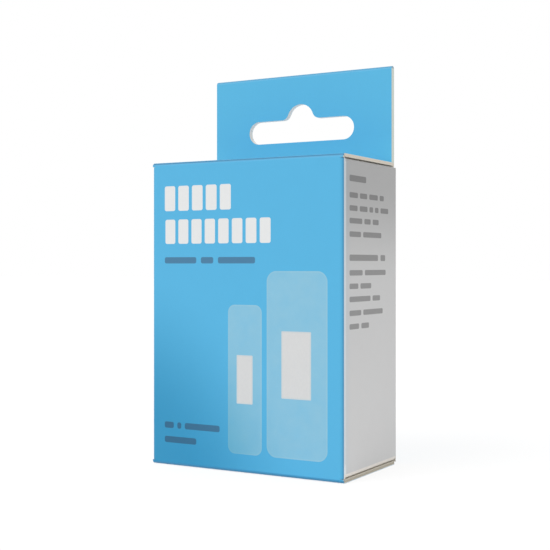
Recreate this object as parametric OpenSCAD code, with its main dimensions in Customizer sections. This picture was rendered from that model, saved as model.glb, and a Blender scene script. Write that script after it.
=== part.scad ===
// Folding carton for wrapped plasters, with a tuck-in closure at each end
// and a folded-over hang tab that carries a euro slot.
// X runs along the front, Y from front to back, Z up. The origin is at the
// middle of the base, and the front panel faces -Y.

/* [Carton] */
// Width of the carton, side to side
carton_w = 55; // [50:1:90]
// Depth of the carton, front to back
carton_d = 31; // [26:1:60]
// Height of the carton, base to lid
carton_h = 77.5; // [60:0.5:130]

/* [Board] */
// Thickness of the folding boxboard
board_t = 0.8; // [0.5:0.05:1.0]
// How much wider the outside of a fold is than the board is thick
fold_ease = 0.1; // [0.05:0.05:0.4]
// Width of the scored line that parts a hinged panel from its neighbour
crease_gap = 0.1; // [0.06:0.02:0.2]

/* [Hang tab] */
// Height of the hang tab above the lid
tab_h = 25; // [22:1:40]
// Inset of the hang tab from each side of the carton
tab_inset = 0.8; // [0.2:0.1:3]
// Length of the glued front layer that runs on below the lid
lap_h = 8; // [4:0.5:14]
// Length of the euro slot
slot_w = 32; // [26:0.5:40]
// Height of the euro slot's long opening
slot_h = 6.2; // [5:0.1:7]
// Height of the slot's lower edge above the lid
slot_rise = 6.8; // [4:0.1:9]
// Radius of the hook hump over the slot
hump_r = 4; // [3:0.1:5]
// Radius that blends the hump into the slot
hump_blend_r = 2; // [0.5:0.1:3]

/* [Closures] */
// Length of a tuck flap, measured from the outside of its lid
tuck_l = 10; // [8:0.5:14]
// Clearance in front of and behind a tucked flap
tuck_clear = 0.5; // [0.4:0.05:0.8]
// How far a tuck flap springs open, per degree that its lid turns
tuck_spring = 0.1; // [0:0.02:0.2]
// Radius of the tuck flap's two free corners
tuck_corner_r = 5; // [1:0.5:7]
// Clearance from each end of a tuck flap to the board beside it
tuck_side_clear = 0.5; // [0.4:0.1:2]
// Gap between a lid and the dust flaps under it
flap_gap = 0.2; // [0.15:0.05:0.6]
// Inset of each end of a lid from the side panels
lid_inset = 0.1; // [0.05:0.05:0.4]
// Length of a dust flap, measured from its side panel
dust_l = 22; // [12:1:23]
// Clearance between a dust flap and the panel in front of it
dust_clear = 0.5; // [0.4:0.1:1]
// Radius of a dust flap's free corners
dust_corner_r = 3; // [1:0.5:6]
// Length of the sloping cut at the upper back end of a side panel
notch_run = 2.4; // [1:0.1:4]
// Depth of the sloping cut at the upper back end of a side panel
notch_drop = 0.45; // [0.25:0.05:1.5]
// Height of the lower cut edge of the back panel and its folds above the base
back_relief = 0.6; // [0.3:0.1:0.9]
// How far the cut ends of the upright folds fall short of the side panels' ends
corner_drop = 0.1; // [0.05:0.05:1]
// Width of the slit between an upright fold and the dust flap's fold
flap_slit = 0.2; // [0.1:0.05:0.5]

/* [Glue flap] */
// Width of the glue flap inside the left panel
glue_w = 10; // [6:1:14]
// How far the glue flap's free edge tapers at each end
glue_taper = 4; // [1:0.5:8]
// How far the glue presses the flap into the left panel
glue_press = 0.1; // [0.05:0.05:0.2]

/* [Plasters] */
// Most wrapped plasters in each of the two rows
plasters_each = 10; // [2:1:10]
// Width of a large wrapped plaster
large_w = 25; // [20:1:27]
// Width of a small wrapped plaster
small_w = 20; // [16:1:22]
// Room left over the large wrapped plasters
large_head = 0.8; // [0.4:0.1:6]
// Room left over the small wrapped plasters
small_head = 12; // [4:1:20]
// Thickness of a wrapped plaster at its middle
wrap_t = 1.8; // [1.2:0.1:3]
// Thickness of the sealed rim of a wrapper
rim_t = 0.3; // [0.2:0.05:0.5]
// Width of the sealed rim of a wrapper
rim_w = 3; // [2:0.5:5]
// Width of the slope from a wrapper's rim up to its middle
slope_w = 4; // [2:0.5:6]
// Gap between the wrapped plasters, and from them to the board
wrap_gap = 0.3; // [0.2:0.05:0.6]

/* [Hidden] */
$fn = 64;
half_w = carton_w / 2;
half_d = carton_d / 2;
fold_r = board_t + fold_ease;
// The outside of a fold lies this far inside the sharp corner at its middle
fold_in = fold_r * (1 - sqrt(0.5));
tab_t = 2 * board_t;
lid_w = carton_w - 2 * lid_inset;
// Ends of the side panels, under the lid and over the base
end_step = board_t + flap_gap;
side_top = carton_h - end_step;
side_h = carton_h - 2 * end_step;
corner_low = end_step + corner_drop;
corner_top = side_top - corner_drop;
// Outer faces of the two tuck flaps where they leave their lids
top_tuck_y = half_d - tab_t - tuck_clear;
bottom_tuck_y = half_d - board_t - tuck_clear;
tuck_w = carton_w - 4 * board_t - 2 * tuck_side_clear;
// The back corner of the lid's shoulder stops just short of the tuck flap
shoulder_back = 0.2;
// A tucked flap leans inwards, so that its edge clears the back as it lifts
lift_clear = 0.15;
function tuck_lean(tuck_y) =
    asin(tuck_l * pow(1 + tuck_spring, 2) / (2 * (tuck_y + half_d - 2 * fold_in))
         - (tuck_clear - lift_clear) / tuck_l);
// Dust flaps end in front of the tuck flap
dust_front = -half_d + board_t + dust_clear;
dust_back = top_tuck_y - board_t - end_step * sin(tuck_lean(top_tuck_y))
            - dust_clear - tuck_clear / 2;
inside_w = carton_w - 2 * board_t;
inside_low = end_step + board_t;
inside_top = carton_h - inside_low;
// The rows of plasters stand between the front panel and the tuck flap
row_front = -half_d + board_t + wrap_gap;
row_back = top_tuck_y - board_t - tuck_l * sin(tuck_lean(top_tuck_y)) - tuck_clear;
row_pitch = wrap_t + wrap_gap;
row_count = min(plasters_each, floor((row_back - row_front + wrap_gap) / row_pitch));
// The large ones stand beside the glue flap, the small ones in the room left over
large_x = -half_w + 2 * board_t + wrap_gap + large_w / 2;
small_x = (large_x + large_w / 2 + half_w - board_t) / 2;
wrap_low = inside_low + wrap_gap;
large_h = inside_top - large_head - wrap_low;
small_h = inside_top - small_head - wrap_low;

// Stretches a profile drawn in Y and Z along X, centred
module along_x(width) {
    rotate([90, 0, 90]) linear_extrude(width, center = true) children();
}

// Stretches a profile drawn in X and Z along Y
module along_y(from_y, length) {
    translate([0, from_y + length, 0])
        rotate([90, 0, 0]) linear_extrude(length) children();
}

// Copies a piece of the upper end to the lower end of the carton
module at_base() {
    translate([0, 0, carton_h]) mirror([0, 0, 1]) children();
}

// Bent board between two directions, round the centre of the fold
module fold(from, to) {
    far = 2 * fold_r;
    intersection() {
        difference() {
            circle(r = fold_r);
            circle(r = fold_r - board_t);
        }
        polygon([[0, 0], for (a = [from, (from + to) / 2, to]) far * [cos(a), sin(a)]]);
    }
}

// Thin cut from the centre outwards, that parts two panels at a fold
module score(direction) {
    rotate(direction) translate([-fold_r, -crease_gap / 2]) square([3 * fold_r, crease_gap]);
}

// Flap outline from y = 0 up to its free edge, with two round corners
module flap_outline(width, length, corner_r) {
    intersection() {
        translate([-width / 2, 0]) square([width, length]);
        union() {
            translate([-width / 2, 0]) square([width, length - corner_r]);
            translate([-width / 2 + corner_r, 0]) square([width - 2 * corner_r, length]);
            for (side = [-1, 1])
                translate([side * (width / 2 - corner_r), length - corner_r])
                    circle(r = corner_r);
        }
    }
}

// Front panel from mid height to the middle of its upper fold, in Y and Z
module front_upper(from_z) {
    difference() {
        union() {
            translate([-half_d, from_z]) square([board_t, carton_h - fold_r - from_z]);
            translate([-half_d + fold_r, carton_h - fold_r]) fold(135, 180);
        }
        translate([-half_d + fold_r, carton_h - fold_r]) score(135);
    }
}

// Front panel, narrower between the upright folds than at its two ends
module front_panel() {
    module half() {
        along_x(carton_w - 2 * fold_r) front_upper(carton_h / 2);
        along_x(lid_w) front_upper(side_top);
    }
    half();
    at_base() half();
}

// Right side panel with the folds of its two dust flaps
module side_panel() {
    flat_d = carton_d - 2 * fold_r;
    along_y(-flat_d / 2, flat_d)
        translate([half_w - board_t, end_step + fold_r])
            square([board_t, side_h - 2 * fold_r]);
    along_y(-flat_d / 2 + flap_slit, flat_d - 2 * flap_slit) {
        translate([half_w - fold_r, side_top - fold_r]) fold(0, 90);
        translate([half_w - fold_r, end_step + fold_r]) fold(270, 360);
    }
}

// Dust flap at the top of the right side
module dust_flap() {
    translate([half_w - fold_r, (dust_front + dust_back) / 2, side_top - board_t])
        rotate([0, 0, 90]) linear_extrude(board_t)
            flap_outline(dust_back - dust_front, dust_l - fold_r, dust_corner_r);
}

// Upright fold at one corner of the carton
module corner(x, y, from, low) {
    translate([x, y, low])
        linear_extrude(corner_top - low) fold(from, from + 90);
}

// Both side panels, the upright folds and the four dust flaps
module sides() {
    difference() {
        union() {
            for (side = [0, 1]) mirror([side, 0, 0]) side_panel();
            corner(-half_w + fold_r, -half_d + fold_r, 180, corner_low);
            corner(half_w - fold_r, -half_d + fold_r, 270, corner_low);
            corner(half_w - fold_r, half_d - fold_r, 0, back_relief);
            translate([-half_w, half_d - fold_r, back_relief])
                cube([board_t, fold_r, corner_top - back_relief]);
        }
        back_notch();
    }
    for (side = [0, 1]) mirror([side, 0, 0]) {
        dust_flap();
        at_base() dust_flap();
    }
}

// Sloping cut that trims the back end of both side panels at the top
module back_notch() {
    past = 1;
    along_x(carton_w + 2 * past) polygon([
        [half_d - notch_run, side_top],
        [half_d - notch_run, side_top + past],
        [half_d + past, side_top + past],
        [half_d + past, side_top - notch_drop * (notch_run + past) / notch_run]]);
}

// Back panel, and the fold that carries the glue flap inside the left panel
module back_panel() {
    glue_x = -half_w + board_t - glue_press;
    fold_x = glue_x + fold_r;
    glue_top = carton_h - lap_h - board_t;
    glue_low = inside_low + tuck_l / 4;
    along_y(half_d - board_t, board_t)
        translate([fold_x, back_relief])
            square([half_w - fold_r - fold_x, carton_h - back_relief]);
    corner(fold_x, half_d - fold_r, 90, back_relief);
    translate([glue_x + board_t / 2, 0, 0])
        along_x(board_t) polygon([
            [half_d - fold_r, glue_low],
            [half_d - fold_r, glue_top],
            [half_d - fold_r - glue_w, glue_top - glue_taper],
            [half_d - fold_r - glue_w, glue_low + glue_taper]]);
}

// Outline of the euro slot, with its lower edge at z = 0
module euro_slot() {
    end_r = slot_h / 2;
    blend_x = sqrt(pow(hump_r + hump_blend_r, 2) - pow(hump_blend_r, 2));
    touch = hump_r / (hump_r + hump_blend_r);
    translate([-slot_w / 2 + end_r, 0]) square([slot_w - slot_h, slot_h]);
    for (side = [-1, 1]) translate([side * (slot_w / 2 - end_r), end_r]) circle(r = end_r);
    translate([0, slot_h]) {
        circle(r = hump_r);
        for (side = [0, 1]) mirror([side, 0]) difference() {
            polygon([
                [0, -1], [blend_x, -1], [blend_x, hump_blend_r],
                [touch * blend_x, touch * hump_blend_r]]);
            translate([blend_x, hump_blend_r]) circle(r = hump_blend_r);
        }
    }
}

// Hang tab: the back panel folded over on itself, with the slot through both layers
module hang_tab() {
    tab_w = carton_w - 2 * tab_inset;
    difference() {
        union() {
            along_x(tab_w) {
                translate([half_d - tab_t, carton_h - end_step / 2])
                    square([tab_t, tab_h - board_t + end_step / 2]);
                translate([half_d - board_t, carton_h + tab_h - board_t])
                    circle(r = board_t);
            }
            along_y(half_d - board_t, board_t)
                translate([-tab_w / 2, side_top]) square([tab_w, end_step]);
            along_y(half_d - tab_t, board_t)
                translate([0, carton_h]) mirror([0, 1])
                    flap_outline(tuck_w, lap_h, board_t);
        }
        along_y(half_d - 2 * tab_t, 3 * tab_t)
            translate([0, carton_h + slot_rise]) euro_slot();
    }
}

// The carton as one folded sheet: four panels, glue flap, dust flaps and hang tab
module carton_body() {
    color("#5cb7e1") {
        front_panel();
        sides();
        back_panel();
        hang_tab();
    }
}

// Lid with the near half of the front fold and of its tuck flap's fold
module lid(tuck_y) {
    front_c = [-half_d + fold_r, carton_h - fold_r];
    back_c = [tuck_y - fold_r, carton_h - fold_r];
    along_x(lid_w) {
        difference() {
            translate(front_c) fold(90, 135);
            translate(front_c) score(135);
        }
        polygon([
            [front_c[0], carton_h - board_t], [front_c[0], carton_h],
            [back_c[0], carton_h], [back_c[0], carton_h - board_t]]);
    }
    along_x(tuck_w) difference() {
        translate(back_c) fold(45, 90);
        translate(back_c) score(45);
    }
    // The shoulders run on from inside the plate, one at each side of the tuck flap
    shoulder_w = (lid_w - tuck_w) / 2 - crease_gap;
    for (side = [-1, 1])
        translate([side * (lid_w - shoulder_w) / 2, 0, 0]) along_x(shoulder_w)
            translate([back_c[0] - fold_r, carton_h - board_t])
                square([2 * fold_r - shoulder_back, board_t]);
}

// Tuck flap on its fold, leaning inwards about the outside of that fold
module tuck_flap(tuck_y) {
    lean = tuck_lean(tuck_y);
    back_c = [tuck_y - fold_r, carton_h - fold_r];
    pivot = [tuck_y - fold_in, carton_h - fold_in];
    translate([0, pivot[0], pivot[1]]) rotate([-lean, 0, 0])
        translate([0, -pivot[0], -pivot[1]]) difference() {
            union() {
                along_x(tuck_w) translate(back_c) fold(0, 45);
                along_y(tuck_y - board_t, board_t)
                    translate([0, carton_h - fold_r]) mirror([0, 1])
                        flap_outline(tuck_w, tuck_l - fold_r, tuck_corner_r);
            }
            along_x(carton_w) translate(pivot) rotate(225 + lean)
                translate([-fold_r, -board_t])
                    square([3 * fold_r, board_t + crease_gap / 2]);
        }
}

module top_lid() {
    color("#5cb7e1") lid(top_tuck_y);
}

module top_tuck_flap() {
    color("#5cb7e1") tuck_flap(top_tuck_y);
}

module bottom_lid() {
    color("#5cb7e1") at_base() lid(bottom_tuck_y);
}

module bottom_tuck_flap() {
    color("#5cb7e1") at_base() tuck_flap(bottom_tuck_y);
}

// Six-sided section of a wrapper's raised middle, drawn about its own centre
module pillow_section(width) {
    half = width / 2;
    top = half - slope_w;
    polygon([
        [-half, 0], [-top, wrap_t / 2], [top, wrap_t / 2],
        [half, 0], [top, -wrap_t / 2], [-top, -wrap_t / 2]]);
}

// Plaster sealed in a flat paper wrapper, standing on its short edge
module wrapped_plaster(x, row, width, height) {
    middle_w = width - 2 * rim_w;
    middle_h = height - 2 * rim_w;
    color("#f2efe8")
        translate([x, row_front + wrap_t / 2 + (row - 1) * row_pitch, wrap_low]) {
            translate([-width / 2, -rim_t / 2, 0]) cube([width, rim_t, height]);
            translate([0, 0, height / 2]) intersection() {
                linear_extrude(middle_h, center = true) pillow_section(middle_w);
                rotate([0, 90, 0]) linear_extrude(middle_w, center = true)
                    pillow_section(middle_h);
            }
        }
}

module large_plaster(row) {
    wrapped_plaster(large_x, row, large_w, large_h);
}

module small_plaster(row) {
    wrapped_plaster(small_x, row, small_w, small_h);
}

carton_body();
top_lid();
top_tuck_flap();
bottom_lid();
bottom_tuck_flap();
for (row = [1:row_count]) {
    large_plaster(row);
    small_plaster(row);
}
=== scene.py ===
"""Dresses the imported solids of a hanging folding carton: printed board, raw edges
and the wrapped plasters inside. Lengths in the materials are in millimetres, read
from the pieces' own coordinates, so every finish moves with its piece.
"""

import math
import random

import bmesh
import bpy
from bpy.props import (
    FloatProperty,
    FloatVectorProperty,
    IntProperty,
    PointerProperty,
)
from mathutils import Matrix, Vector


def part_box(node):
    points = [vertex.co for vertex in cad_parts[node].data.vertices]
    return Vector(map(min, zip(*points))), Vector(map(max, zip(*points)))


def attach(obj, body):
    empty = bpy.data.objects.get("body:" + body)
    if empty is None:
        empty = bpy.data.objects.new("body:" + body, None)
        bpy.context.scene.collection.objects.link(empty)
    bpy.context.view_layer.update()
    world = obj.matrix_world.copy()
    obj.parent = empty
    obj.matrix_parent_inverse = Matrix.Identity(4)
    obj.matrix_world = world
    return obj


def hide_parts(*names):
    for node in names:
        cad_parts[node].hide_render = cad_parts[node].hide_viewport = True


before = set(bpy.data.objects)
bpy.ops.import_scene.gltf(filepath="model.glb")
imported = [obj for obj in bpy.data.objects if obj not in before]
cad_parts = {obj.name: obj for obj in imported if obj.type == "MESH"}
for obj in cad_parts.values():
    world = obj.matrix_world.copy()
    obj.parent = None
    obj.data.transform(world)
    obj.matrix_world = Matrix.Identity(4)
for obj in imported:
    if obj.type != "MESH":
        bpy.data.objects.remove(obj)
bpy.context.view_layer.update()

bl_info = {
    "name": "Hanging Folding Carton",
    "version": (1, 0, 0),
    "blender": (4, 5, 0),
    "location": "3D View > Sidebar > Carton",
    "description": "Finishes a folding carton with a hang tab and its wrapped plasters",
    "category": "Object",
}

MM = 1000.0
PLASTERS = [name for name in sorted(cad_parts) if "plaster" in name]


def high_corner(node):
    """Right, back and upper end of a solid, in millimetres."""
    return [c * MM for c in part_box(node)[1]]


HALF_W, HALF_D, TAB_TOP = high_corner("carton_body")
TOP = high_corner("top_lid")[2]

# Clearances and lengths of the solids, in millimetres
FLAP_GAP = 0.2  # between a lid and the dust flaps
TUCK_CLEAR = 0.5  # between a tuck flap and the board behind it
TUCK_LENGTH = 10.0
TUCK_SPRING = 0.1  # turn of a tuck flap for each turn of its lid
LIFT_CLEAR = 0.15  # left of the clearance while a tuck flap lifts out
LAP = 8.0  # reach of the tab's front layer below the lid
LAP_INSET = 1.9  # from the carton's sides to the lap's ends
GLUE_SHIFT = 0.35  # of the glued back fold, inside the left panel
SHOULDER_INSET = 0.48  # from the walls to the lid's shoulders
MARGIN = 0.1  # keeps the limits of the masks off the faces


def tone(red, green, blue):
    """Linear colour for a tone given as 0 to 255 screen values."""
    def linear(value):
        value = value / 255
        if value <= 0.04045:
            return value / 12.92
        return ((value + 0.055) / 1.055) ** 2.4
    return (linear(red), linear(green), linear(blue))


def colour_property(name, description, default):
    return FloatVectorProperty(
        name=name, description=description, subtype="COLOR", size=3,
        min=0, max=1, default=default)


def share_property(name, description, default):
    return FloatProperty(
        name=name, description=description, subtype="FACTOR",
        min=0, max=1, default=default)


def length_property(name, description, default):
    return FloatProperty(
        name=name, description=description, subtype="DISTANCE", unit="LENGTH",
        min=0, default=default)


def angle_property(name, description, degrees):
    return FloatProperty(
        name=name, description=description, subtype="ANGLE", unit="ROTATION",
        default=math.radians(degrees))


class CartonInks(bpy.types.PropertyGroup):
    """Inks of the printed outside of the board, and the colours of the painted shade and
    highlights on it.
    """
    panel: colour_property("Panel", "Front, back and both lids", tone(79, 178, 223))
    # Tab ink a little lighter than the panel's, and lighter still at its foot: painted
    # light against the shade that falls on the tab
    tab: colour_property("Tab", "Hang tab", tone(82, 182, 223))
    tab_foot_painted_light: colour_property(
        "Tab foot", "Lower end of the hang tab", tone(91, 192, 228))
    side: colour_property("Side", "Both side panels", tone(221, 221, 221))
    # Share of the side's ink left at its top: painted shade
    side_top_shade: share_property("Side top", "How light the upper end of a side is", 0.596)
    heading: colour_property("Heading", "Large bars on the front", tone(229, 230, 230))
    note: colour_property("Note", "Small bars on the front", tone(62, 120, 156))
    # Painted highlight on the front folds of the sides
    front_fold_highlight: colour_property("Rubbed", "Front folds of the sides", tone(244, 249, 251))
    # Painted highlight on the lower folds of the sides
    base_fold_highlight: colour_property("Hem", "Lower folds of the sides", tone(250, 245, 237))
    # Colour of the painted shade in the folds round the front
    crease_shade_colour: colour_property(
        "Crushed", "Ink in the creases of the front", tone(52, 146, 192))
    side_note: colour_property(
        "Side note", "Small bars on the right side", tone(140, 140, 140))
    film: colour_property(
        "Film", "Clear film of the plasters shown", (0.66, 0.75, 0.62))
    film_cover: share_property("Film cover", "How much the film hides the panel", 0.26)
    pad: colour_property("Pad", "Pads of the plasters shown", tone(217, 217, 216))
    corner_shade: share_property(
        "Corner shade", "Darkening at the lower left of the front", 1.0)


class BoardFinish(bpy.types.PropertyGroup):
    """Folding boxboard: coat, core and the plain inside."""
    coat: colour_property("Coat", "White coat under the ink", tone(238, 236, 230))
    core: colour_property("Core", "Pulp seen on cut edges", tone(233, 226, 211))
    tab_core: colour_property(
        "Tab core", "Pulp of the tab's two layers", tone(224, 238, 228))
    slot_core: colour_property(
        "Slot core", "Pulp in the slot, cut clean", tone(253, 252, 249))
    # Darker copy of the core for the lower edges: painted shade
    base_core_painted_shade: colour_property(
        "Base core", "Pulp of the lower edges", tone(200, 195, 177))
    liner: colour_property("Liner", "Plain inside of the carton", tone(232, 227, 216))
    thickness: length_property("Thickness", "Thickness of the board", 0.0008)
    fold_radius: length_property("Fold radius", "Outside radius of a fold", 0.0009)
    ink_roughness: share_property(
        "Ink roughness", "Roughness of the satin ink", 0.46)
    bare_roughness: share_property(
        "Bare roughness", "Roughness of the bare board", 0.9)


class WrapperShape(bpy.types.PropertyGroup):
    """Paper wrappers that hold one plaster each."""
    seal: length_property("Seal", "Width of the sealed rim", 0.003)
    paper: colour_property("Paper", "Wrapper paper", tone(240, 238, 232))
    strip: colour_property(
        "Strip", "Plaster showing through the paper", tone(226, 205, 184))
    across: IntProperty(name="Across", description="Cells across", min=8, default=26)
    along: IntProperty(name="Along", description="Cells along", min=16, default=64)
    tooth: length_property("Tooth", "Depth of the zigzag cut at both ends", 0.0004)
    curl: length_property("Curl", "How far a rim bends out of its plane", 0.00035)
    seed: IntProperty(
        name="Seed", description="Start of the small differences", default=7)


class StageLook(bpy.types.PropertyGroup):
    """Floor, light and camera."""
    ambient: FloatProperty(
        name="Ambient", description="Light from all round", min=0, default=0.70)
    key: FloatProperty(
        name="Key", description="Strength of the main lamp", min=0, default=1.25)
    key_turn: angle_property(
        "Key turn", "Main lamp, turned to the left of the front", 32)
    key_rise: angle_property("Key rise", "Main lamp, height above the horizon", 48)
    key_spread: angle_property("Key spread", "Softness of the main lamp", 40)
    floor: colour_property("Floor", "Pale floor", (0.86, 0.86, 0.86))
    floor_hold: share_property(
        "Floor hold", "How strongly the floor shows shadows", 0.25)
    eye: FloatVectorProperty(
        name="Eye", description="Place of the camera", subtype="TRANSLATION",
        unit="LENGTH", size=3, default=(0.14219, -0.24712, 0.05137))
    turn: angle_property("Turn", "Camera, turned from the front", 29.895)
    lens: FloatProperty(
        name="Lens", description="Focal length in mm", min=1, default=72.24)
    shift: FloatProperty(
        name="Shift", description="Vertical shift of the frame", default=-0.01934)


# Shader arithmetic

def feed(socket, item):
    """Joins an item to a socket, or sets the socket's value."""
    if isinstance(item, Field):
        item.tree.links.new(item.socket, socket)
    elif hasattr(item, "__len__") and len(item) == 3 and socket.type == "RGBA":
        socket.default_value = (*item, 1.0)
    else:
        socket.default_value = item


class Field:
    """A value that varies over a surface, held by one output socket of a node."""

    def __init__(self, socket):
        self.socket = socket
        self.tree = socket.id_data

    def math(self, operation, *others):
        return math_node(self.tree, operation, self, *others)

    def __add__(self, other):
        return self.math("ADD", other)

    def __sub__(self, other):
        return self.math("SUBTRACT", other)

    def __rsub__(self, other):
        return math_node(self.tree, "SUBTRACT", other, self)

    def __mul__(self, other):
        return self.math("MULTIPLY", other)

    def __truediv__(self, other):
        return self.math("DIVIDE", other)

    def above(self, edge):
        return self.math("GREATER_THAN", edge)

    def below(self, edge):
        return self.math("LESS_THAN", edge)

    def least(self, other):
        return self.math("MINIMUM", other)

    def most(self, other):
        return self.math("MAXIMUM", other)

    def size(self):
        return self.math("ABSOLUTE")

    def power(self, exponent):
        return self.math("POWER", exponent)

    def rise(self, start, end):
        """Smoothly from 0 at start to 1 at end."""
        node = self.tree.nodes.new("ShaderNodeMapRange")
        node.interpolation_type = "SMOOTHSTEP"
        feed(node.inputs["Value"], self)
        feed(node.inputs["From Min"], start)
        feed(node.inputs["From Max"], end)
        return Field(node.outputs["Result"])

    def fall(self, start, end):
        """Smoothly from 1 at start to 0 at end."""
        return 1.0 - self.rise(start, end)

    def band(self, start, full, fading, end):
        """1 from full to fading, and 0 before start and past end."""
        return self.rise(start, full) * self.fall(fading, end)

    def pick(self, yes, no):
        """yes where this mask is 1, and no where it is 0."""
        node = self.tree.nodes.new("ShaderNodeMix")
        node.data_type = "FLOAT"
        feed(node.inputs[0], self)
        feed(node.inputs[2], no)
        feed(node.inputs[3], yes)
        return Field(node.outputs[0])


def math_node(tree, operation, *items):
    node = tree.nodes.new("ShaderNodeMath")
    node.operation = operation
    for socket, item in zip(node.inputs, items):
        feed(socket, item)
    return Field(node.outputs[0])


def length_of(a, b):
    """Length of a flat vector with the parts a and b."""
    return (a * a + b * b).power(0.5)


def rounded_box(a, b, half_a, half_b, radius):
    """Depth under the skin of a rounded rectangle, from both coordinates' sizes."""
    over_a = a - (half_a - radius)
    over_b = b - (half_b - radius)
    outside = length_of(over_a.most(0.0), over_b.most(0.0))
    inside = over_a.most(over_b).least(0.0)
    return radius - (outside + inside)


def blend(mask, under, over, mode="MIX"):
    """Colour over laid on colour under where the mask says so."""
    node = mask.tree.nodes.new("ShaderNodeMix")
    node.data_type = "RGBA"
    node.blend_type = mode
    feed(node.inputs[0], mask)
    feed(node.inputs[6], under)
    feed(node.inputs[7], over)
    return Field(node.outputs[2])


def scaled(colour, factor):
    """A colour times a factor."""
    node = colour.tree.nodes.new("ShaderNodeVectorMath")
    node.operation = "SCALE"
    feed(node.inputs[0], colour)
    feed(node.inputs["Scale"], factor)
    return Field(node.outputs[0])


def noise(place, scale, detail=2.0, roughness=0.5):
    """Noise value, with scale in cells per millimetre."""
    node = place.tree.nodes.new("ShaderNodeTexNoise")
    feed(node.inputs["Vector"], place)
    node.inputs["Scale"].default_value = scale
    node.inputs["Detail"].default_value = detail
    node.inputs["Roughness"].default_value = roughness
    return Field(node.outputs["Fac"])


def stretch(place, x, y, z):
    """The same place with its three parts scaled."""
    node = place.tree.nodes.new("ShaderNodeMapping")
    feed(node.inputs["Vector"], place)
    node.inputs["Scale"].default_value = (x, y, z)
    return Field(node.outputs[0])


def parts(place):
    """The three parts of a place."""
    node = place.tree.nodes.new("ShaderNodeSeparateXYZ")
    feed(node.inputs[0], place)
    return [Field(socket) for socket in node.outputs]


def own_place(tree):
    """Place on the piece, in millimetres."""
    node = tree.nodes.new("ShaderNodeTexCoord")
    return stretch(Field(node.outputs["Object"]), MM, MM, MM)


def attribute(tree, name):
    """Value stored on the mesh under a name."""
    node = tree.nodes.new("ShaderNodeAttribute")
    node.attribute_name = name
    return Field(node.outputs["Fac"])


# Shared effects

SOCKETS = {
    "value": "NodeSocketFloat",
    "colour": "NodeSocketColor",
    "vector": "NodeSocketVector",
}
BAR_BLUR = 0.04
# Depths at which the layers of the board end
INK_END = (0.035, 0.06)
COAT_END = (0.10, 0.16)
PULP_END = (0.70, 0.76)
RAGGED = 0.05  # unevenness of the coat's and the pulp's ends
DARK_PULP = (0.62, 0.53, 0.45)
PULP_STREAK = (0.42, 0.35, 0.29)
LINER_FLECK = (0.45, 0.40, 0.33)


def effect(name, inputs, outputs, build):
    """Shader node group made once: build takes its inputs and returns its outputs."""
    if name in bpy.data.node_groups:
        return bpy.data.node_groups[name]
    group = bpy.data.node_groups.new(name, "ShaderNodeTree")
    for label, kind in inputs:
        group.interface.new_socket(label, in_out="INPUT", socket_type=SOCKETS[kind])
    for label, kind in outputs:
        group.interface.new_socket(label, in_out="OUTPUT", socket_type=SOCKETS[kind])
    start = group.nodes.new("NodeGroupInput")
    end = group.nodes.new("NodeGroupOutput")
    results = build(*[Field(start.outputs[label]) for label, _ in inputs])
    for (label, _), result in zip(outputs, results):
        group.links.new(result.socket, end.inputs[label])
    return group


def use(tree, group, *items):
    """Places an effect in a tree and returns its outputs."""
    node = tree.nodes.new("ShaderNodeGroup")
    node.node_tree = group
    for socket, item in zip(node.inputs, items):
        feed(socket, item)
    return [Field(socket) for socket in node.outputs]


def bar_effect():
    """Printed bar with round corners, and the depth inside its outline."""
    def build(across, down, left, right, top, bottom, corner):
        middle_a = (left + right) * 0.5
        middle_b = (top + bottom) * 0.5
        depth = rounded_box(
            (across - middle_a).size(), (down - middle_b).size(),
            (right - left) * 0.5, (bottom - top) * 0.5, corner)
        return depth.rise(-BAR_BLUR, BAR_BLUR), depth
    labels = ["Across", "Down", "Left", "Right", "Top", "Bottom", "Corner"]
    return effect(
        "printed bar", [(label, "value") for label in labels],
        [("Mask", "value"), ("Inset", "value")], build)


def layers_effect():
    """Ink, coat, core and liner of the board, by depth under the printed skin."""
    def build(place, depth, ink, coat, core, liner):
        fibre = noise(place, 5.0, 3.0, 0.6)
        pulp = blend((fibre - 0.5) * 0.5 + 0.25, core, DARK_PULP)
        streak = noise(place, 9.8, 1.0).rise(0.62, 0.75)
        pulp = blend(streak * 0.2, pulp, PULP_STREAK)
        fleck = noise(place, 3.2, 4.0, 0.7).rise(0.60, 0.72)
        inside = blend(fleck * 0.25, liner, LINER_FLECK)
        ragged = depth + (noise(place, 9.0) - 0.5) * RAGGED
        under = blend(ragged.rise(*COAT_END), coat, pulp)
        under = blend(ragged.rise(*PULP_END), under, inside)
        bare = depth.rise(*INK_END)
        return blend(bare, ink, under), 1.0 - bare
    return effect(
        "board layers",
        [("Place", "vector"), ("Depth", "value"), ("Ink", "colour"),
         ("Coat", "colour"), ("Core", "colour"), ("Liner", "colour")],
        [("Color", "colour"), ("Printed", "value")], build)


def grain_effect():
    """Fine fibre and slow mottle of coated board: tone and relief, about one half."""
    def build(place):
        fine = noise(place, 4.5, 3.0, 0.65)
        slow = noise(place, 0.22)
        fibre = noise(stretch(place, 0.35, 0.35, 1.6), 2.2, 3.0, 0.6)
        mottle = fine * 0.5 + slow * 0.3 + fibre * 0.2
        relief = fine * 0.55 + fibre * 0.45
        return mottle, relief
    return effect(
        "coated grain", [("Place", "vector")],
        [("Tone", "value"), ("Relief", "value")], build)


def wear_effect():
    """Rubbed specks along a fold: 1 where the ink is gone."""
    def build(place, distance, reach):
        near = 1.0 - (distance.size() / reach).least(1.0)
        rough = noise(place, 2.6, 4.0, 0.7)
        return ((near * 0.42 + rough).rise(0.93, 1.0),)
    return effect(
        "fold wear", [("Place", "vector"), ("Distance", "value"), ("Reach", "value")],
        [("Mask", "value")], build)


# Printed design

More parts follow.
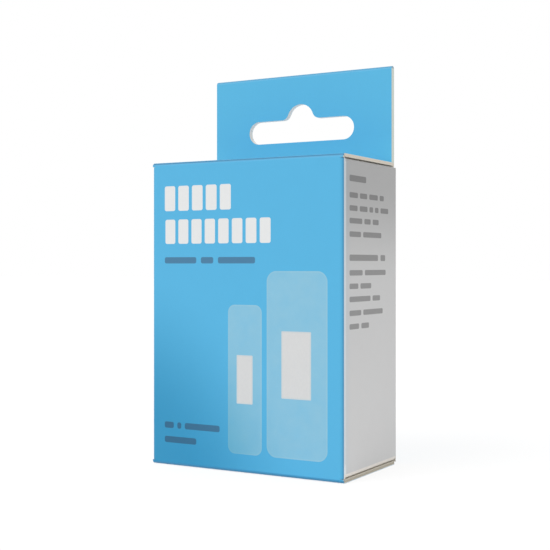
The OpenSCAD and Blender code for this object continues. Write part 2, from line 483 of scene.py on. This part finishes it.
# Gap between the blocks of a row, and round corners of the printed forms, in millimetres
BLOCK_GAP = 0.95
HEADING_CORNER = 0.55
NOTE_CORNER = 0.5
SIDE_NOTE_CORNER = 0.4
PAD_CORNER = 0.25
SIDE_NOTE_COVER = 0.9  # share of a side bar's ink that shows


def letter_row(left, right, top, bottom, count):
    """Equal blocks in a row."""
    pitch = (right - left + BLOCK_GAP) / count
    return [(left + i * pitch, left + i * pitch + pitch - BLOCK_GAP, top, bottom)
            for i in range(count)]


# Blocks and bars on the front: left, right, top and bottom, in millimetres from the
# panel's upper left corner
HEADINGS = (letter_row(3.9, 23.9, 6.15, 12.5, 5)
            + letter_row(4.1, 35.3, 14.7, 20.9, 8))
NOTES = [
    (3.9, 13.6, 24.3, 25.9), (15.0, 18.7, 24.3, 25.9), (20.1, 30.9, 24.3, 25.9),
    (3.9, 6.7, 66.4, 68.0), (7.8, 9.0, 66.4, 68.0), (10.1, 20.6, 66.4, 68.0),
    (3.9, 13.6, 70.1, 71.7)]
# Plasters shown on the front: outline, its corner, and the pad
FIGURES = [
    ((34.2, 50.8, 27.75, 72.9), 2.6, (38.3, 46.4, 42.25, 58.5)),
    ((23.1, 32.8, 36.1, 72.9), 1.9, (25.6, 30.2, 48.5, 60.5))]
# Lines on the right side: top, bottom, and the ends of each word
SIDE_LINES = [
    (4.9, 6.4, [(3.2, 12.4)]),
    (9.0, 10.3, [(3.2, 7.8), (8.9, 13.0), (14.2, 19.2), (20.3, 22.8)]),
    (12.1, 13.4, [(3.2, 7.6), (8.8, 13.2), (14.3, 16.4), (17.5, 19.6), (20.8, 25.5)]),
    (15.1, 16.4, [(3.2, 10.2), (11.4, 15.0), (16.2, 19.7)]),
    (18.3, 19.6, [(3.2, 9.5), (10.7, 21.3)]),
    (23.8, 25.3, [(3.2, 19.3), (20.8, 23.6)]),
    (27.5, 28.8, [(3.2, 10.4), (11.7, 23.9)]),
    (30.7, 32.0, [(3.2, 8.0), (9.2, 15.3)]),
    (33.8, 35.1, [(3.2, 14.9), (16.1, 20.5)]),
    (37.1, 38.4, [(3.2, 9.6), (10.8, 22.1)]),
    (40.3, 41.6, [(3.2, 8.4), (9.7, 14.0)])]

# Film and pads of the plasters shown
FILM_RIM = (0.12, 0.5)
FILM_RIM_COVER = 0.07
FILM_CLOUD = 0.10
GAUZE_TONE = (0.60, 0.60, 0.61)
PAD_EDGE = 0.55
PAD_EDGE_COVER = 0.30
PAD_EDGE_TONE = (0.42, 0.56, 0.63)
# Painted shade at the lower left of the front: its reach, the roundness of its outline
# and its tone
CORNER_REACH = (10.0, 46.0)
CORNER_ROUNDNESS = 1.5
CORNER_UPWARD = 0.88
CORNER_SHADE_TONE = (0.20, 0.64, 0.71)
# Painted shade at the upper end of a side: two slopes, each with its share
SIDE_SHADE_SLOPES = (((5.0, 31.0), 0.66), ((15.0, 75.0), 0.34))


def bar_rows(tree, across, down, rows, corner):
    """One mask for several printed bars."""
    total = None
    for left, right, top, bottom in rows:
        mask, _ = use(
            tree, bar_effect(), across, down, left, right, top, bottom, corner)
        total = mask if total is None else total.most(mask)
    return total


def corner_shadow(across, down):
    """Mask of painted shade: 1 at the lower left of the front, fading upwards and to the
    right.
    """
    reach = (across.most(0.0).power(CORNER_ROUNDNESS)
             + (TOP - down).most(0.0).power(CORNER_ROUNDNESS) * CORNER_UPWARD)
    return reach.power(1 / CORNER_ROUNDNESS).fall(*CORNER_REACH)


def front_design(tree, place, across, down, inks):
    """Ink of the front, from the distances right of and below its upper left."""
    ink = tuple(inks.panel)
    for outline, corner, _ in FIGURES:
        mask, inset = use(tree, bar_effect(), across, down, *outline, corner)
        rim = inset.fall(*FILM_RIM) * FILM_RIM_COVER
        cloud = (noise(place, 0.35, 3.0) - 0.5) * FILM_CLOUD
        cover = (rim + cloud + inks.film_cover) * mask
        ink = blend(cover, ink, tuple(inks.film))
    ink = blend(bar_rows(tree, across, down, NOTES, NOTE_CORNER), ink, tuple(inks.note))
    # Painted shade over the lower left of the front
    dark = corner_shadow(across, down) * inks.corner_shade
    ink = blend(dark, ink, CORNER_SHADE_TONE, "MULTIPLY")
    for _, _, pad in FIGURES:
        mask, inset = use(tree, bar_effect(), across, down, *pad, PAD_CORNER)
        gauze = noise(stretch(place, 1.0, 1.0, 0.5), 2.4)
        lint = blend((gauze - 0.5) * 0.5 + 0.25, tuple(inks.pad), GAUZE_TONE)
        edge = inset.fall(0.0, PAD_EDGE) * PAD_EDGE_COVER
        ink = blend(mask, ink, blend(edge, lint, PAD_EDGE_TONE))
    headings = bar_rows(tree, across, down, HEADINGS, HEADING_CORNER)
    return blend(headings, ink, tuple(inks.heading))


def side_design(tree, behind, down, right_side, inks):
    """Ink of a side panel, from the distances behind the front and below the top, with
    painted shade darkening its upper end.
    """
    rows = [(left, right, top, bottom) for top, bottom, words in SIDE_LINES
            for left, right in words]
    notes = bar_rows(tree, behind, down, rows, SIDE_NOTE_CORNER) * right_side
    ink = blend(notes * SIDE_NOTE_COVER, tuple(inks.side), tuple(inks.side_note))
    (upper, upper_share), (lower, lower_share) = SIDE_SHADE_SLOPES
    # Painted shade: the side is darker towards its upper end
    light = down.rise(*upper) * upper_share + down.rise(*lower) * lower_share
    return scaled(ink, light * (1.0 - inks.side_top_shade) + inks.side_top_shade)


# Materials

WEAR_REACH = 1.2
WEAR_COVER = 0.2
# Relief of the board: its strength, its depth in metres and how much more the bare
# board has
GRAIN_STRENGTH = 0.35
GRAIN_DEPTH = 0.00003
BARE_RELIEF = 2.5
# Mottle of the board: the least tone, what it adds to that, and its share of the gloss
LEAST_TONE, MOTTLE_TONE, MOTTLE_GLOSS = 0.95, 0.10, 0.12

# How far in the print of the front and of the back reaches
FRONT_SKIN = 0.3
BACK_SKIN = 0.35
# Bands on a side panel, from the front fold backwards; the fold line is painted shade
PANEL_INK_END = (0.40, 0.50)
FOLD_SHADE_LINE = (0.14, 0.28, 0.42, 0.50)
FOLD_SHADE_TONE = (0.46, 0.68, 0.78)
# Painted highlight along the rounding of the front fold
FOLD_HIGHLIGHT_BAND = (0.42, 0.54, 0.95, 1.7)
INK_FADES = (((0.3, 1.6), 0.16), ((0.3, 4.5), 0.12))
# The painted highlight along the front fold is paler towards the base: where, its least
# cover and what is added
PALE_BASE = (3.5, 5.0)
FOLD_HIGHLIGHT_COVER, PALE_COVER = 0.55, 0.4
# Painted highlight up from the lower end of a side panel, and where it starts at the
# front
BASE_HIGHLIGHT_BAND = (-0.05, 0.0, 0.9, 1.2)
BASE_HIGHLIGHT_START = 0.5
# The tab's ink gets darker up to this far above the lid: its lighter foot is painted
# light against the shade of the lid
TAB_FOOT_LIGHT_REACH = 9.0
# Print on a dust flap, from the flap's fold inwards
FLAP_PRINT_END = (3.9, 4.1)
# Painted shade along the folds at the front's ends: reach from the panel's ends, at the
# top and at the base, and its fade
CREASE_TOP = 0.42
CREASE_BASE = 0.6
CREASE_FADE = 0.35
CREASE_COVER = 0.9
CREASE_SHADE = (0.0, 0.06, 0.16)
CREASE_SHADE_COVER = 0.25
# Painted shade along the tab's rounded top
TAB_CREASE = (-0.75, -0.35)
TAB_CREASE_COVER = 0.6
# Painted shade beside the front's upright folds: where, its cover and its tone
UPRIGHT_FOLD = (0.5, 1.0)
UPRIGHT_COVER = 0.25
UPRIGHT_SHADE_TONE = (0.80, 0.80, 0.80)
# Room round the slot, above the lid and inside the sides
SLOT_ROOM = 5.0


def start_material(name):
    """New material, with its node tree and its shader."""
    material = bpy.data.materials.new(name)
    material.use_nodes = True
    tree = material.node_tree
    return material, tree, tree.nodes["Principled BSDF"]


def emboss(shader, height, strength, depth):
    """Relief from a height, with the depth in metres."""
    tree = shader.id_data
    bump = tree.nodes.new("ShaderNodeBump")
    bump.inputs["Strength"].default_value = strength
    bump.inputs["Distance"].default_value = depth
    feed(bump.inputs["Height"], height)
    feed(shader.inputs["Normal"], Field(bump.outputs[0]))


def finish_board(shader, place, depth, ink, fold_distance, core, board, crease_painted_shade=None):
    """Layers, grain, wear and gloss of one piece of the board.

    The last argument is the mask and the colour of painted shade along a fold, where the
    piece has any.
    """
    tree = shader.id_data
    worn, = use(tree, wear_effect(), place, fold_distance, WEAR_REACH)
    mottle, relief = use(tree, grain_effect(), place)
    ink = blend(worn * WEAR_COVER, ink, tuple(board.coat))
    colour, printed = use(
        tree, layers_effect(), place, depth, ink, tuple(board.coat), core,
        tuple(board.liner))
    if crease_painted_shade:
        mask, crease_shade_colour = crease_painted_shade
        colour = blend(mask, colour, crease_shade_colour)
    tint = mottle * MOTTLE_TONE + LEAST_TONE
    feed(shader.inputs["Base Color"], scaled(colour, tint))
    rough = printed.pick(board.ink_roughness, board.bare_roughness)
    feed(shader.inputs["Roughness"], rough + (mottle - 0.5) * MOTTLE_GLOSS)
    relief = relief * printed.pick(1.0, BARE_RELIEF)
    emboss(shader, relief, GRAIN_STRENGTH, GRAIN_DEPTH)


def sheet_depth(x, y, z, thick, fold, in_tab, near_middle):
    """Depth of a point of the folded sheet under the nearest printed skin."""
    wall_half = TOP / 2 - thick - FLAP_GAP
    level = (z - TOP / 2).size()
    back_half = y.above(0.0)
    # The back panel's glued fold starts inside the left panel
    centred = x - back_half * GLUE_SHIFT
    half_x = HALF_W - back_half * GLUE_SHIFT
    around = rounded_box(centred.size(), y.size(), half_x, HALF_D, fold)
    over_fold = rounded_box(y.size(), level, HALF_D, TOP / 2, fold)
    side_fold = rounded_box(x.size(), level, HALF_W, wall_half, fold)
    outer = y.size().above(HALF_D - fold)
    front_end = level.above(wall_half) * y.below(0.0)
    depth = outer.pick(front_end.pick(over_fold, around), side_fold)
    left_end = x.below(-HALF_W + thick - MARGIN / 2) * back_half * outer
    depth = left_end.pick(x + HALF_W, depth)
    above_walls = z.above(TOP - thick - FLAP_GAP)
    round_top = (z - (TAB_TOP - thick)).most(0.0)
    curl = thick - length_of(y - (HALF_D - thick), round_top)
    return (in_tab * near_middle.most(above_walls)).pick(curl, depth)


def side_ink(tree, x, z, behind, end_distance, inks):
    """Ink of a side panel, with painted highlights along its front and lower folds."""
    side = side_design(tree, behind, TOP - z, x.above(0.0), inks)
    (near, near_cover), (far, far_cover) = INK_FADES
    fade = behind.fall(*near) * near_cover + behind.fall(*far) * far_cover
    side = blend(fade, side, tuple(inks.panel))
    # Painted highlight along the front fold, paler towards the base
    cover = z.fall(*PALE_BASE) * PALE_COVER + FOLD_HIGHLIGHT_COVER
    pale = behind.band(*FOLD_HIGHLIGHT_BAND) * cover
    side = blend(pale, side, tuple(inks.front_fold_highlight))
    # Painted highlight along the lower fold of a side
    base_fold_highlight = end_distance.band(*BASE_HIGHLIGHT_BAND) * z.below(TOP / 2) * behind.above(BASE_HIGHLIGHT_START)
    return blend(base_fold_highlight, side, tuple(inks.base_fold_highlight))


def carton_material(inks, board):
    """Board of the folded sheet: walls, dust flaps, glue flap and hang tab."""
    material, tree, shader = start_material("printed carton board")
    place = own_place(tree)
    x, y, z = parts(place)
    thick = board.thickness * MM
    fold = board.fold_radius * MM
    wall_half = TOP / 2 - thick - FLAP_GAP
    level = (z - TOP / 2).size()
    tab_front = HALF_D - 2 * thick
    in_tab = z.above(TOP - LAP - MARGIN) * y.above(tab_front - MARGIN)
    near_middle = x.size().below(HALF_W - LAP_INSET)
    depth = sheet_depth(x, y, z, thick, fold, in_tab, near_middle)

    # Panel ink runs round the front folds and fades on the first of the side
    behind = y + HALF_D
    front = front_design(tree, place, x + HALF_W, TOP - z, inks)
    side = side_ink(tree, x, z, behind, wall_half - level, inks)
    ink = blend(behind.rise(*PANEL_INK_END), front, side)
    # Painted shade: a dark line along the fold between the front and a side
    ink = blend(behind.band(*FOLD_SHADE_LINE), ink, FOLD_SHADE_TONE, "MULTIPLY")
    plain = y.above(HALF_D - BACK_SKIN).most(in_tab * near_middle)
    ink = blend(plain, ink, tuple(inks.panel))
    # Painted light: the tab is lighter near the lid, against the shade there
    tab = blend((z - TOP).rise(0.0, TAB_FOOT_LIGHT_REACH), tuple(inks.tab_foot_painted_light), tuple(inks.tab))
    ink = blend(z.above(TOP), ink, tab)
    flap = level.above(wall_half - fold) * level.below(wall_half + MARGIN)
    flap = flap * behind.above(thick + FRONT_SKIN) * y.below(tab_front - MARGIN)
    bare = (HALF_W - x.size()).rise(*FLAP_PRINT_END)
    ink = blend(flap * bare, ink, tuple(board.coat))

    # Painted shade on the folds round the front panel, along the tab's top and beside
    # the front's upright folds
    end_gap = TOP / 2 - level
    upper = z.above(TOP / 2)
    reach = upper.pick(CREASE_TOP, CREASE_BASE)
    crease_painted_shade = (end_gap - reach).fall(0.0, CREASE_FADE) * y.below(-HALF_D + fold)
    crease_painted_shade = (crease_painted_shade * CREASE_COVER).most(
        (z - TAB_TOP).rise(*TAB_CREASE) * TAB_CREASE_COVER)
    # Painted shade, darker still at the top
    crease_shade_colour = blend(upper * CREASE_SHADE_COVER, tuple(inks.crease_shade_colour), CREASE_SHADE)
    upright = (HALF_W - x.size()).fall(*UPRIGHT_FOLD) * behind.below(FRONT_SKIN)
    ink = blend(upright * UPRIGHT_COVER, ink, UPRIGHT_SHADE_TONE, "MULTIPLY")

    fold_distance = length_of(HALF_W - x.size(), HALF_D - y.size()).least(
        end_gap + HALF_D + y)
    core = blend(z.above(TOP), tuple(board.core), tuple(board.tab_core))
    slot_wall = z.above(TOP + SLOT_ROOM) * x.size().below(HALF_W - SLOT_ROOM)
    core = blend(slot_wall, core, tuple(board.slot_core))
    finish_board(
        shader, place, depth, ink, fold_distance, core, board, (crease_painted_shade, crease_shade_colour))
    return material


# Painted shade on a lid, from its fold on the front backwards
LID_CREASE = (0.3, 0.9)
LID_CREASE_COVER = 0.85
# Box that rounds a tuck flap's fold: half its depth and half its height
TUCK_BOX = (10.0, 20.0)


def lid_material(name, back, at_base, inks, board):
    """Board of a lid: folded over the front's end, and again at its back edge."""
    material, tree, shader = start_material(name)
    place = own_place(tree)
    x, y, z = parts(place)
    thick = board.thickness * MM
    fold = board.fold_radius * MM
    height = TOP - z if at_base else z
    from_middle = (y - (back - HALF_D) / 2).size()
    level = (height - TOP / 2).size()
    depth = rounded_box(from_middle, level, (back + HALF_D) / 2, TOP / 2, fold)
    shoulder = (x.size().above(HALF_W - 2 * thick - SHOULDER_INSET)
                * y.above(back - fold - MARGIN))
    depth = shoulder.pick(TOP - height, depth)
    behind = y + HALF_D
    # Painted shade along the lid's fold on the front
    crease_painted_shade = behind.fall(*LID_CREASE) * LID_CREASE_COVER
    # The lower lid's cut edges take the darker core: painted shade
    core = tuple(board.base_core_painted_shade if at_base else board.core)
    finish_board(
        shader, place, depth, tuple(inks.panel), behind.least(back - y), core, board,
        (crease_painted_shade, tuple(inks.crease_shade_colour)))
    return material


def tuck_material(name, back, at_base, inks, board):
    """Board of a tuck flap, which leans inwards from its fold."""
    material, tree, shader = start_material(name)
    place = own_place(tree)
    _, y, z = parts(place)
    fold = board.fold_radius * MM
    fold_in = fold * (1 - math.sqrt(0.5))
    height = TOP - z if at_base else z
    # Turned back upright about the middle of the fold
    lean = tuck_lean(back, fold_in)
    from_y = y - (back - fold_in)
    from_z = height - (TOP - fold_in)
    upright_y = from_y * math.cos(lean) - from_z * math.sin(lean) + (back - fold_in)
    upright_z = from_y * math.sin(lean) + from_z * math.cos(lean) + (TOP - fold_in)
    half_depth, half_height = TUCK_BOX
    depth = rounded_box(
        (upright_y - (back - half_depth)).size(),
        (upright_z - (TOP - half_height)).size(), half_depth, half_height, fold)
    finish_board(
        shader, place, depth, tuple(inks.panel), TOP - upright_z, tuple(board.core),
        board)
    return material


def tuck_lean(back, fold_in):
    """Angle by which a tuck flap leans inwards, from its length and clearances."""
    run = 2 * (back + HALF_D - 2 * fold_in)
    return math.asin(
        TUCK_LENGTH * (1 + TUCK_SPRING) ** 2 / run
        - (TUCK_CLEAR - LIFT_CLEAR) / TUCK_LENGTH)


def tuck_backs(board):
    """Outer faces of the two tuck flaps where they leave their lids."""
    thick = board.thickness * MM
    return HALF_D - 2 * thick - TUCK_CLEAR, HALF_D - thick - TUCK_CLEAR


# Paper of the wrappers, by depth in from the pouch's edge or from the strip's
PAPER_FIBRE = (0.70, 0.68, 0.63)
STRIP_EDGE = (-0.2, 0.5)
STRIP_COVER = 0.30
SEAL_END = (2.6, 3.1)
CRIMP_PITCH = 0.55
# Painted shade in the grooves of the crimp
CRIMP_SHADE_COVER = 0.14
CRIMP_SHADE_TONE = (0.55, 0.55, 0.55)
PAPER_STRENGTH = 0.6
PAPER_DEPTH = 0.0001
# Fibre in the paper's tone, as spread and middle, and the roughness, as spread and least
FIBRE_SPREAD, FIBRE_MIDDLE = 0.35, 0.18
ROUGH_SPREAD, ROUGH_LEAST = 0.15, 0.68
# Shares of the crimp, the fibre and the slow waves in the paper's relief
CRIMP_RELIEF, FIBRE_RELIEF, SLOW_RELIEF = 0.8, 0.35, 0.6


def wrapper_material(wrapper):
    """Matt paper, crimped at its seal with painted shade in its grooves, with the
    plaster showing through a little.
    """
    material, tree, shader = start_material("wrapper paper")
    place = own_place(tree)
    inset = attribute(tree, "seal_inset")
    strip = attribute(tree, "strip_inset")
    fibre = noise(place, 3.0, 4.0, 0.65)
    slow = noise(place, 0.3)
    fibre_cover = (fibre - 0.5) * FIBRE_SPREAD + FIBRE_MIDDLE
    paper = blend(fibre_cover, tuple(wrapper.paper), PAPER_FIBRE)
    paper = blend(strip.rise(*STRIP_EDGE) * STRIP_COVER, paper, tuple(wrapper.strip))
    wave = (inset * (2 * math.pi / CRIMP_PITCH)).math("SINE") * 0.5 + 0.5
    crimp = inset.fall(*SEAL_END) * wave
    paper = blend(crimp * CRIMP_SHADE_COVER, paper, CRIMP_SHADE_TONE)
    feed(shader.inputs["Base Color"], paper)
    feed(shader.inputs["Roughness"], slow * ROUGH_SPREAD + ROUGH_LEAST)
    relief = crimp * CRIMP_RELIEF + fibre * FIBRE_RELIEF + slow * SLOW_RELIEF
    emboss(shader, relief, PAPER_STRENGTH, PAPER_DEPTH)
    return material


# Pieces

# Shape of a wrapper, in metres: half the paper's two layers at the seal, the room
# round the plaster, where the swelling starts and ends, and how far the plaster slips
SEAL_HALF = 0.00015
STRIP_ROOM = 0.0012
SWELL = (0.0004, 0.0038)
SLIP = 0.0012
# Pad under the paper: its shares of the strip, and its edges across and along
PAD_WIDE, PAD_LONG = 0.72, 0.30
PAD_RISE_ACROSS = (-0.0012, 0.0008)
PAD_RISE_ALONG = (-0.0015, 0.0010)
# Swelling of the strip, the pad and the ripples, as shares of the solid's thickness
BODY_SWELL, PAD_SWELL, RIPPLE_SWELL = 0.20, 0.135, 0.03
CURL_START = 2.2  # in widths of the seal
# Ripples, in radians a metre across and along: a crossed pair, and a slanting wave
CROSSED_WAVES = (900, 410)
SLANTING_WAVE = (350, 700)
# Wave along a curled rim, with the steady and the waving share of the curl
RIM_WAVE, RIM_STEADY, RIM_WAVING = 300, 0.7, 0.3
ON_EDGE = 1e-6  # how near the edge a corner counts as on it


def add_object(name, data):
    """New object in the scene."""
    made = bpy.data.objects.new(name, data)
    bpy.context.scene.collection.objects.link(made)
    return made


def dress(name, material):
    """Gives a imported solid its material."""
    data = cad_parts[name].data
    data.materials.clear()
    data.materials.append(material)


def smooth(value, start, end):
    """Smoothly from 0 at start to 1 at end."""
    t = min(max((value - start) / (end - start), 0.0), 1.0)
    return t * t * (3 - 2 * t)


def wrapped_plaster(name, node, material, wrapper, random_source):
    """Paper pouch in a solid's place, swelling over the plaster in it.

    Known fault: the layers added below make the corners in far_side stale, so
    both sides of the pouch take -half and lie in one place. The mesh encloses no
    volume. Adding the layers before the grid is made would cure it.
    """
    low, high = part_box(node)
    width, height = high.x - low.x, high.z - low.z
    thick = high.y - low.y
    seal = wrapper.seal
    mesh = bmesh.new()
    bmesh.ops.create_grid(
        mesh, x_segments=wrapper.across, y_segments=wrapper.along, size=0.5)
    bmesh.ops.transform(
        mesh, verts=mesh.verts,
        matrix=Matrix.Rotation(math.radians(90), 4, "X")
        @ Matrix.Diagonal((width, height, 1, 1)))
    made = bmesh.ops.extrude_face_region(mesh, geom=mesh.faces[:])
    far_side = {v for v in made["geom"] if isinstance(v, bmesh.types.BMVert)}
    bmesh.ops.recalc_face_normals(mesh, faces=mesh.faces)
    strip_x = width / 2 - seal - STRIP_ROOM
    strip_z = height / 2 - seal - STRIP_ROOM
    pad_x, pad_z = strip_x * PAD_WIDE, strip_z * PAD_LONG
    phases = [random_source.uniform(0, 2 * math.pi) for _ in range(4)]
    curl_top = random_source.uniform(-1, 1) * wrapper.curl
    curl_low = random_source.uniform(-1, 1) * wrapper.curl
    slip = random_source.uniform(-SLIP, SLIP)
    seal_layer = mesh.verts.layers.float.new("seal_inset")
    strip_layer = mesh.verts.layers.float.new("strip_inset")
    pitch = width / wrapper.across
    cross_x, cross_z = CROSSED_WAVES
    slant_x, slant_z = SLANTING_WAVE
    for vert in mesh.verts:
        x, z = vert.co.x, vert.co.z
        inset = min(width / 2 - abs(x), height / 2 - abs(z))
        body = smooth(inset, seal + SWELL[0], seal + SWELL[1])
        pad = (smooth(pad_x - abs(x), *PAD_RISE_ACROSS)
               * smooth(pad_z - abs(z - slip), *PAD_RISE_ALONG))
        crossed = math.sin(x * cross_x + phases[0]) * math.sin(z * cross_z + phases[1])
        slanting = math.sin(x * slant_x + z * slant_z + phases[2])
        ripple = (crossed + slanting) * 0.5
        half = SEAL_HALF + body * (
            thick * BODY_SWELL
            + thick * PAD_SWELL * pad
            + thick * RIPPLE_SWELL * ripple)
        bend = curl_top if z > 0 else curl_low
        lift = bend * smooth(abs(z), height / 2 - seal * CURL_START, height / 2)
        lift *= RIM_STEADY + RIM_WAVING * math.sin(x * RIM_WAVE + phases[3])
        vert[seal_layer] = inset * MM
        vert[strip_layer] = min(strip_x - abs(x), strip_z - abs(z)) * MM
        vert.co.y = lift + (half if vert in far_side else -half)
        # Every second column is cut short, which leaves a zigzag at both ends
        column = round((x + width / 2) / pitch)
        if abs(abs(z) - height / 2) < ON_EDGE and column % 2:
            vert.co.z -= math.copysign(wrapper.tooth, z)
    bmesh.ops.translate(mesh, verts=mesh.verts, vec=(low + high) / 2)
    bmesh.ops.recalc_face_normals(mesh, faces=mesh.faces)
    for face in mesh.faces:
        face.smooth = True
    data = bpy.data.meshes.new(name)
    mesh.to_mesh(data)
    mesh.free()
    data.materials.append(material)
    piece = add_object(name, data)
    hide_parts(node)
    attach(piece, "carton")


class CARTON_OT_sheet(bpy.types.Operator):
    """Prints and finishes the folded sheet: walls, dust flaps, glue flap and tab."""
    bl_idname = "carton.sheet"
    bl_label = "Folded Sheet"
    bl_options = {"REGISTER", "UNDO"}

    def execute(self, context):
        scene = context.scene
        dress("carton_body", carton_material(scene.carton_inks, scene.carton_board))
        return {"FINISHED"}


class CARTON_OT_lids(bpy.types.Operator):
    """Prints and finishes both lids."""
    bl_idname = "carton.lids"
    bl_label = "Lids"
    bl_options = {"REGISTER", "UNDO"}

    def execute(self, context):
        inks, board = context.scene.carton_inks, context.scene.carton_board
        top, base = tuck_backs(board)
        dress("top_lid", lid_material("top lid board", top, False, inks, board))
        dress("bottom_lid", lid_material("bottom lid board", base, True, inks, board))
        return {"FINISHED"}


class CARTON_OT_tuck_flaps(bpy.types.Operator):
    """Prints and finishes both tuck flaps."""
    bl_idname = "carton.tuck_flaps"
    bl_label = "Tuck Flaps"
    bl_options = {"REGISTER", "UNDO"}

    def execute(self, context):
        inks, board = context.scene.carton_inks, context.scene.carton_board
        top, base = tuck_backs(board)
        dress(
            "top_tuck_flap", tuck_material("top tuck board", top, False, inks, board))
        dress(
            "bottom_tuck_flap",
            tuck_material("bottom tuck board", base, True, inks, board))
        return {"FINISHED"}


class CARTON_OT_plasters(bpy.types.Operator):
    """Makes the wrapped plasters of both rows."""
    bl_idname = "carton.plasters"
    bl_label = "Wrapped Plasters"
    bl_options = {"REGISTER", "UNDO"}

    def execute(self, context):
        wrapper = context.scene.carton_wrapper
        material = wrapper_material(wrapper)
        source = random.Random(wrapper.seed)
        for node in PLASTERS:
            name = node.replace("plaster", "wrapper")
            wrapped_plaster(name, node, material, wrapper, source)
        return {"FINISHED"}


# Stage

# Floor, in metres: half its width, and how far it lies below the carton
FLOOR_REACH = 3.0
FLOOR_DROP = 0.0001
FLOOR_CELLS = 8
FLOOR_GLOW = 0.3
FLOOR_ROUGHNESS = 0.9


class CARTON_OT_stage(bpy.types.Operator):
    """Sets the pale floor, the soft light and the camera."""
    bl_idname = "carton.stage"
    bl_label = "Stage"
    bl_options = {"REGISTER", "UNDO"}

    def execute(self, context):
        look = context.scene.carton_stage
        make_floor(look)
        light_world(context.scene, look)
        lamp = bpy.data.lights.new("key lamp", "SUN")
        lamp.energy = look.key
        lamp.angle = look.key_spread
        key = add_object("key lamp", lamp)
        key.rotation_euler = (math.radians(90) - look.key_rise, 0, -look.key_turn)
        camera = bpy.data.cameras.new("camera")
        camera.lens = look.lens
        camera.shift_y = look.shift
        camera.clip_start = 0.01
        eye = add_object("camera", camera)
        eye.location = look.eye
        eye.rotation_euler = (math.radians(90), 0, look.turn)
        context.scene.camera = eye
        context.scene.view_settings.view_transform = "Standard"
        return {"FINISHED"}


def make_floor(look):
    """Pale floor with soft shadows over a white background, clear from below."""
    mesh = bmesh.new()
    bmesh.ops.create_grid(
        mesh, x_segments=FLOOR_CELLS, y_segments=FLOOR_CELLS, size=FLOOR_REACH)
    bmesh.ops.translate(mesh, verts=mesh.verts, vec=(0, 0, -FLOOR_DROP))
    data = bpy.data.meshes.new("floor")
    mesh.to_mesh(data)
    mesh.free()
    data.materials.append(floor_material(look))
    add_object("floor", data)


def floor_material(look):
    """Matt floor, which the camera sees only in part."""
    material, tree, shader = start_material("pale floor")
    shader.inputs["Base Color"].default_value = (*look.floor, 1)
    shader.inputs["Roughness"].default_value = FLOOR_ROUGHNESS
    shader.inputs["Specular IOR Level"].default_value = 0.0
    glow = tree.nodes.new("ShaderNodeEmission")
    glow.inputs["Color"].default_value = (1, 1, 1, 1)
    glow.inputs["Strength"].default_value = FLOOR_GLOW
    clear = tree.nodes.new("ShaderNodeBsdfTransparent")
    lit = tree.nodes.new("ShaderNodeAddShader")
    tree.links.new(shader.outputs[0], lit.inputs[0])
    tree.links.new(glow.outputs[0], lit.inputs[1])
    geometry = tree.nodes.new("ShaderNodeNewGeometry")
    above = Field(geometry.outputs["Backfacing"]).below(0.5)
    seen = mix_shaders(tree, above * look.floor_hold, clear, lit)
    final = mix_shaders(tree, seen_rays(tree), shader, seen)
    tree.links.new(
        final.outputs[0], tree.nodes["Material Output"].inputs["Surface"])
    return material


def mix_shaders(tree, share, first, second):
    """Mix of two shader nodes, with the given share of the second."""
    node = tree.nodes.new("ShaderNodeMixShader")
    feed(node.inputs[0], share)
    tree.links.new(first.outputs[0], node.inputs[1])
    tree.links.new(second.outputs[0], node.inputs[2])
    return node


def seen_rays(tree):
    """1 for what the camera sees, by itself, in gloss or through glass."""
    path = tree.nodes.new("ShaderNodeLightPath")
    direct = Field(path.outputs["Is Camera Ray"])
    return direct.most(Field(path.outputs["Is Glossy Ray"])).most(
        Field(path.outputs["Is Transmission Ray"]))


def light_world(scene, look):
    """Even light from all round, and a white background."""
    world = bpy.data.worlds.new("studio")
    world.use_nodes = True
    scene.world = world
    tree = world.node_tree
    background = tree.nodes["Background"]
    background.inputs["Color"].default_value = (1, 1, 1, 1)
    feed(background.inputs["Strength"], seen_rays(tree).pick(1.0, look.ambient))


class CARTON_PT_panel(bpy.types.Panel):
    """Sizes, colours and steps of the carton's finish."""
    bl_idname = "CARTON_PT_panel"
    bl_label = "Folding Carton"
    bl_space_type = "VIEW_3D"
    bl_region_type = "UI"
    bl_category = "Carton"

    def draw(self, context):
        layout = self.layout
        for step in OPERATORS:
            layout.operator(step.bl_idname)
        for name in SETTINGS:
            group = getattr(context.scene, name)
            box = layout.box()
            box.label(text=name.replace("_", " ").title())
            for key in group.__annotations__:
                box.prop(group, key)


SETTINGS = {
    "carton_inks": CartonInks,
    "carton_board": BoardFinish,
    "carton_wrapper": WrapperShape,
    "carton_stage": StageLook,
}
OPERATORS = [
    CARTON_OT_sheet, CARTON_OT_lids, CARTON_OT_tuck_flaps, CARTON_OT_plasters,
    CARTON_OT_stage]


def register():
    for group in (*SETTINGS.values(), *OPERATORS, CARTON_PT_panel):
        bpy.utils.register_class(group)
    for name, group in SETTINGS.items():
        setattr(bpy.types.Scene, name, PointerProperty(type=group))


def unregister():
    for name in SETTINGS:
        delattr(bpy.types.Scene, name)
    for group in reversed((*SETTINGS.values(), *OPERATORS, CARTON_PT_panel)):
        bpy.utils.unregister_class(group)


def main():
    register()
    bpy.ops.carton.stage()
    bpy.ops.carton.sheet()
    bpy.ops.carton.lids()
    bpy.ops.carton.tuck_flaps()
    bpy.ops.carton.plasters()


if __name__ == "__main__":
    main()
